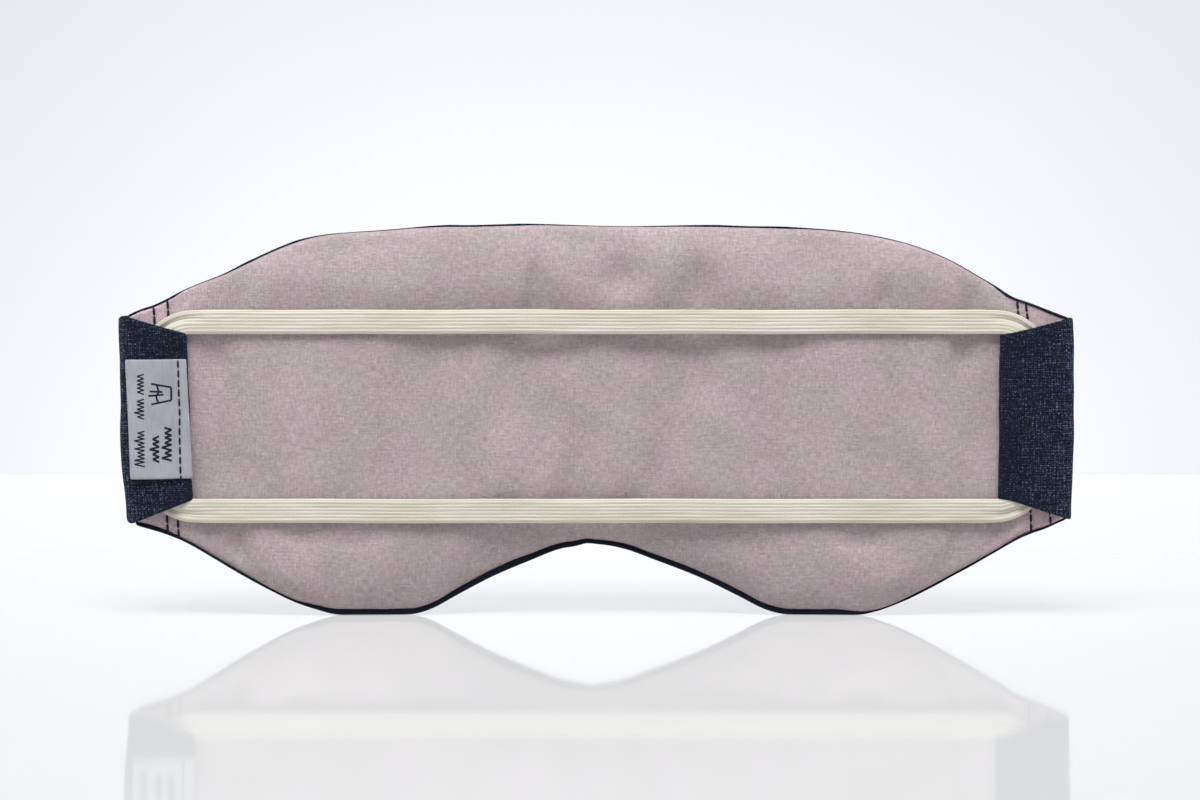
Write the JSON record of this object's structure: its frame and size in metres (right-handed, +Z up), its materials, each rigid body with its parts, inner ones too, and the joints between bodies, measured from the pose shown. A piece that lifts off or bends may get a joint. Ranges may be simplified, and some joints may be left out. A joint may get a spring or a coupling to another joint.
{
  "type": "padded sleep eye mask",
  "caption": "Soft contoured eye mask for sleeping: a padded panel with a nose notch, folded casings at both ends and one endless elastic crossing the lining twice.",
  "frame": {"origin": "the middle of the width and of the depth, at the height of the two cheek lobes' flat bottoms", "axes": "+Z up through the nose notch to the brow edge, +X along the width, -Y towards the lining and the elastic, +Y out of the front panel"},
  "size_m": [0.228, 0.0144, 0.0939],
  "materials": {
    "navy_cotton": "coarse plain weave, dark navy with lighter flecks",
    "pink_cotton": "fine plain weave with slubs, dusty pink",
    "wool": "loose wool wadding, off white",
    "elastic": "braided with lengthwise ribs, cream",
    "dark_thread": "sewing thread, near black",
    "label_satin": "smooth woven satin tape, pale grey"
  },
  "bodies": {
    "mask": {"front_panel": "navy_cotton", "back_panel": "pink_cotton", "wool_fill": "wool", "upper_seam_thread": "dark_thread", "lower_seam_thread": "dark_thread", "left_casing": "navy_cotton", "right_casing": "navy_cotton", "left_casing_stitch": "dark_thread", "right_casing_stitch": "dark_thread", "left_end_stitch_inner": "dark_thread", "left_end_stitch_outer": "dark_thread", "right_end_stitch_inner": "dark_thread", "right_end_stitch_outer": "dark_thread", "left_end_bobbin_inner": "dark_thread", "left_end_bobbin_outer": "dark_thread", "right_end_bobbin_inner": "dark_thread", "right_end_bobbin_outer": "dark_thread", "left_elastic_turn": "elastic", "right_elastic_turn": "elastic", "elastic_join_lap": "elastic", "elastic_join_zigzag": "dark_thread", "care_label_margin": "label_satin"},
    "upper_strap": {"elastic_upper_run": "elastic"},
    "lower_strap": {"elastic_lower_run": "elastic"},
    "label": {"care_label_leaf": "label_satin"}
  },
  "joints": [
    {"name": "upper_strap_pull", "type": "slide", "parent": "mask", "child": "upper_strap", "axis": [0, -1, 0], "range_m": [0, 0.12], "stiffness_N_per_m": 20},
    {"name": "lower_strap_pull", "type": "slide", "parent": "mask", "child": "lower_strap", "axis": [0, -1, 0], "range_m": [0, 0.12], "stiffness_N_per_m": 20},
    {"name": "label_flip", "type": "hinge", "parent": "mask", "child": "label", "pos_m": [-0.1005, -0.00604, 0.0478], "axis": [0, 0, 1], "range_deg": [0, 150], "stiffness_Nm_per_rad": 0.0001}
  ]
}
